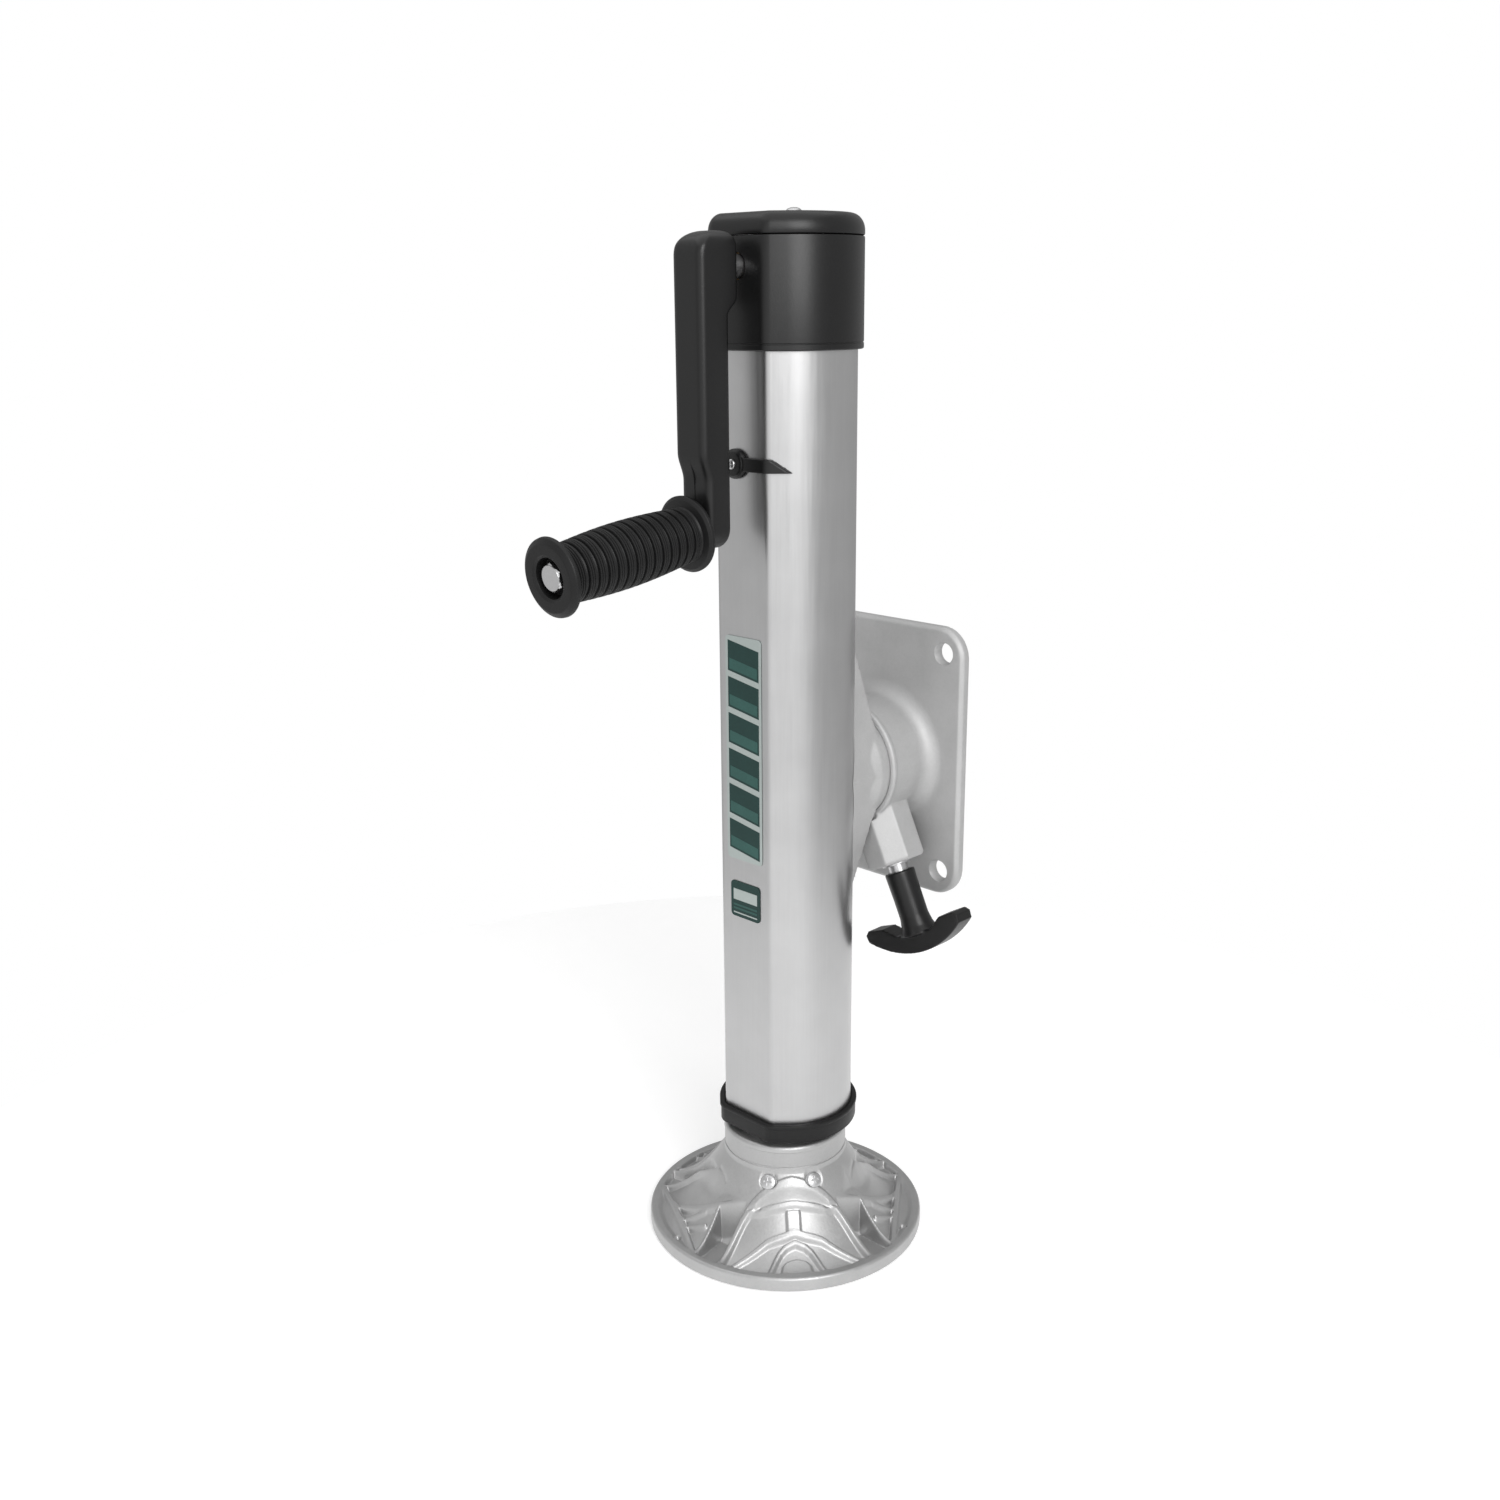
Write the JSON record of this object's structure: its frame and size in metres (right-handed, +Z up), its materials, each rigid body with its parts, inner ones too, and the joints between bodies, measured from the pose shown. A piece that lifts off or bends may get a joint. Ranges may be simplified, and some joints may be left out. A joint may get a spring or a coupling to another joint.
{
  "type": "trailer tongue jack",
  "caption": "Sidewind trailer tongue jack: a crank and bevel gears drive a screw ram with a cast foot, on a swivel bracket with a spring plunger that bolts to the tongue.",
  "frame": {"origin": "middle of the foot's flat underside, on the ram's axis", "axes": "+Z up along the ram and the outer tube; +X towards the trailer's tongue, out of the mounting plate's back; the crank and its grip are on the -X side"},
  "size_m": [0.2778, 0.1778, 0.6309],
  "materials": {
    "tube_aluminium": "satin drawn tube",
    "cast_aluminium": "as cast, lightly tumbled",
    "black_plastic": "fine moulded grain",
    "black_rubber": "matte",
    "zinc_steel": "zinc plated",
    "dark_steel": "oiled, machined",
    "bronze": "turned",
    "green_print": "printed film"
  },
  "bodies": {
    "bracket": {"bracket_casting": "cast_aluminium", "plunger_plug": "zinc_steel", "plunger_spring": "zinc_steel"},
    "jack": {"outer_tube": "tube_aluminium", "bottom_collar": "black_rubber", "tube_guide_bush": "black_plastic", "storage_clip": "black_plastic", "clip_rivet": "zinc_steel", "decal_strip": "green_print", "decal_badge": "green_print", "gear_frame": "zinc_steel", "shaft_bush_front": "bronze", "shaft_bush_rear": "bronze", "bridge_strap": "zinc_steel", "strap_screw_1": "zinc_steel", "strap_screw_2": "zinc_steel", "cap_housing": "black_plastic", "cap_lid": "black_plastic", "cap_screw": "zinc_steel", "swivel_saddle": "cast_aluminium", "saddle_screw_1": "zinc_steel", "saddle_screw_2": "zinc_steel", "saddle_screw_3": "zinc_steel", "saddle_screw_4": "zinc_steel", "swivel_washer": "zinc_steel", "swivel_nut": "zinc_steel", "thrust_race_upper": "zinc_steel", "thrust_ball_cage": "bronze"},
    "crank": {"crank_arm": "black_plastic", "crank_shaft": "zinc_steel", "crank_pin": "zinc_steel", "bevel_pinion": "dark_steel", "pinion_pin": "zinc_steel", "shaft_circlip": "zinc_steel", "grip_bolt": "zinc_steel", "grip_washer": "zinc_steel"},
    "grip": {"handle_grip": "black_rubber"},
    "screw": {"lead_screw": "dark_steel", "bevel_gear": "dark_steel", "gear_pin": "zinc_steel", "thrust_race_lower": "zinc_steel"},
    "ram": {"ram_tube": "zinc_steel", "ram_nut": "bronze", "ram_guide_ring": "black_plastic", "foot_casting": "cast_aluminium", "foot_screw_1": "zinc_steel", "foot_screw_2": "zinc_steel", "foot_screw_3": "zinc_steel", "foot_screw_4": "zinc_steel"},
    "plunger": {"plunger_pin": "zinc_steel", "t_handle": "black_plastic", "handle_pin": "zinc_steel"}
  },
  "joints": [
    {"name": "swivel", "type": "hinge", "parent": "bracket", "child": "jack", "pos_m": [0, 0, 0.299], "axis": [1, 0, 0], "range_deg": [-90, 90]},
    {"name": "crank_turn", "type": "hinge", "parent": "jack", "child": "crank", "pos_m": [0, 0, 0.6], "axis": [1, 0, 0], "range_deg": [0, 36000]},
    {"name": "screw_turn", "type": "hinge", "parent": "jack", "child": "screw", "pos_m": [0, 0, 0.56], "axis": [0, 0, 1], "range_deg": [-18000, 0]},
    {"name": "ram_slide", "type": "slide", "parent": "jack", "child": "ram", "axis": [0, 0, -1], "range_m": [0, 0.254]},
    {"name": "grip_spin", "type": "hinge", "parent": "crank", "child": "grip", "pos_m": [-0.062, 0, 0.4607], "axis": [-0.9917, 0, -0.1288], "continuous": true},
    {"name": "plunger_pull", "type": "slide", "parent": "bracket", "child": "plunger", "axis": [0, -0.4321, -0.9018], "range_m": [0, 0.012], "stiffness_N_per_m": 2000, "springref_m": -0.01, "deforming": ["plunger_spring"]}
  ],
  "couplings": [
    {"joint": "screw_turn", "follows": "crank_turn", "ratio": -0.5},
    {"joint": "ram_slide", "follows": "crank_turn", "m_per_rad": 0.00040425}
  ]
}
